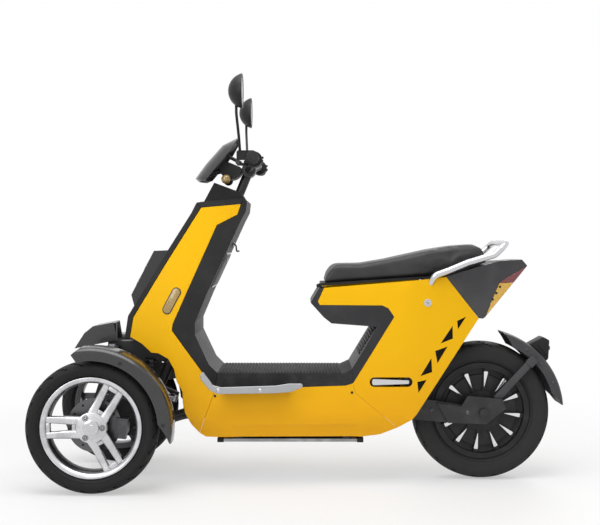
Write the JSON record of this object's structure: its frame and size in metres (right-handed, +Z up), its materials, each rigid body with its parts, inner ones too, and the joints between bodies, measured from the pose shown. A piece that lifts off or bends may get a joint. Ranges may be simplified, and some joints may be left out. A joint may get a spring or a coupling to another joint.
{
  "type": "electric three-wheeled scooter",
  "caption": "Electric scooter with steered wheels side by side in front and a driven wheel behind; the seat lifts on a front hinge.",
  "frame": {"origin": "on the floor at the middle of the overall length and width", "axes": "-X points forwards, -Y to the vehicle's left as its rider faces forwards, +Z up"},
  "size_m": [1.7843, 0.6958, 1.35],
  "materials": {
    "body_paint": "yellow gloss paint",
    "dark_plastic": "black grained plastic",
    "gloss_black": "black gloss plastic",
    "tyre_rubber": "matt black",
    "bright_alloy": "bright machined",
    "dark_alloy": "dark satin",
    "frame_black": "black powder coat",
    "steel": "satin",
    "silver_trim": "satin anodised",
    "seat_vinyl": "black vinyl",
    "grip_rubber": "matt",
    "clear_lens": "clear",
    "red_lens": "red",
    "amber_lens": "amber",
    "mirror_silver": "polished"
  },
  "bodies": {
    "chassis": {"front_panel_left": "body_paint", "front_panel_right": "body_paint", "skirt_left": "body_paint", "skirt_right": "body_paint", "rear_panel_left": "body_paint", "rear_panel_right": "body_paint", "headlight_housing": "gloss_black", "headlight_lens": "clear_lens", "tail_cover": "dark_plastic", "tail_lamp": "red_lens", "rear_indicators": "amber_lens", "foot_trims": "silver_trim", "upper_arms": "frame_black", "lower_arms": "frame_black", "front_shocks": "frame_black", "main_frame": "frame_black", "battery_block": "dark_plastic", "front_fascia": "dark_plastic", "head_cover": "dark_plastic", "nose_cover": "dark_plastic", "inner_legshield": "dark_plastic", "footboard": "dark_plastic", "underseat_cover": "dark_plastic", "storage_bin": "dark_plastic", "belly_plate": "steel", "wheel_well": "dark_plastic", "grab_rail": "bright_alloy", "swing_arm": "frame_black", "rear_shock": "frame_black", "rear_mudguard": "dark_plastic", "plate_lamp": "dark_plastic"},
    "steering": {"steering_column": "frame_black", "handlebar": "frame_black", "grips": "grip_rubber", "switch_pods": "dark_plastic", "brake_levers": "frame_black", "mirrors": "gloss_black", "mirror_glass": "mirror_silver", "flyscreen": "gloss_black", "instrument_pod": "dark_plastic", "front_indicators": "amber_lens"},
    "steer_knuckle_left": {"knuckle_left": "dark_alloy", "fender_left": "gloss_black"},
    "steer_knuckle_right": {"knuckle_right": "dark_alloy", "fender_right": "gloss_black"},
    "front_wheel_left": {"front_tyre_left": "tyre_rubber", "front_rim_left": "bright_alloy", "front_disc_left": "steel"},
    "front_wheel_right": {"front_tyre_right": "tyre_rubber", "front_rim_right": "bright_alloy", "front_disc_right": "steel"},
    "track_rod_left": {"tie_rod_left": "steel"},
    "track_rod_right": {"tie_rod_right": "steel"},
    "rear_wheel": {"rear_tyre": "tyre_rubber", "rear_motor": "dark_alloy"},
    "seat": {"seat_base": "dark_plastic", "seat_cushion": "seat_vinyl"},
    "passenger_rest_left": {"footrest_left": "silver_trim"},
    "passenger_rest_right": {"footrest_right": "silver_trim"}
  },
  "joints": [
    {"name": "steer", "type": "hinge", "parent": "chassis", "child": "steering", "pos_m": [-0.45712, 0, 0.39999], "axis": [0.3827, 0, 0.9239], "range_deg": [-35, 35]},
    {"name": "kingpin_left", "type": "hinge", "parent": "chassis", "child": "steer_knuckle_left", "pos_m": [-0.65616, -0.19, 0.216], "axis": [0.3827, 0, 0.9239], "range_deg": [-35, 35]},
    {"name": "kingpin_right", "type": "hinge", "parent": "chassis", "child": "steer_knuckle_right", "pos_m": [-0.65616, 0.19, 0.216], "axis": [0.3827, 0, 0.9239], "range_deg": [-35, 35]},
    {"name": "track_rod_pin_left", "type": "hinge", "parent": "steering", "child": "track_rod_left", "pos_m": [-0.43562, 0, 0.28987], "axis": [0.3827, 0, 0.9239], "range_deg": [-35, 35]},
    {"name": "track_rod_pin_right", "type": "hinge", "parent": "steering", "child": "track_rod_right", "pos_m": [-0.43562, 0, 0.28987], "axis": [0.3827, 0, 0.9239], "range_deg": [-35, 35]},
    {"name": "front_wheel_spin_left", "type": "hinge", "parent": "steer_knuckle_left", "child": "front_wheel_left", "pos_m": [-0.67616, -0.265, 0.216], "axis": [0, 1, 0], "continuous": true},
    {"name": "front_wheel_spin_right", "type": "hinge", "parent": "steer_knuckle_right", "child": "front_wheel_right", "pos_m": [-0.67616, 0.265, 0.216], "axis": [0, 1, 0], "continuous": true},
    {"name": "rear_wheel_spin", "type": "hinge", "parent": "chassis", "child": "rear_wheel", "pos_m": [0.61384, 0, 0.236], "axis": [0, 1, 0], "continuous": true},
    {"name": "seat_hinge", "type": "hinge", "parent": "chassis", "child": "seat", "pos_m": [0.05398, 0, 0.66272], "axis": [0, -1, 0], "range_deg": [0, 80]},
    {"name": "footrest_fold_left", "type": "hinge", "parent": "chassis", "child": "passenger_rest_left", "pos_m": [0.24103, -0.143, 0.34656], "axis": [0, 0, -1], "range_deg": [0, 80]},
    {"name": "footrest_fold_right", "type": "hinge", "parent": "chassis", "child": "passenger_rest_right", "pos_m": [0.24103, 0.143, 0.34656], "axis": [0, 0, 1], "range_deg": [0, 80]}
  ],
  "couplings": [
    {"joint": "kingpin_left", "follows": "steer", "ratio": 1},
    {"joint": "kingpin_right", "follows": "steer", "ratio": 1},
    {"joint": "track_rod_pin_left", "follows": "steer", "ratio": -1},
    {"joint": "track_rod_pin_right", "follows": "steer", "ratio": -1}
  ]
}
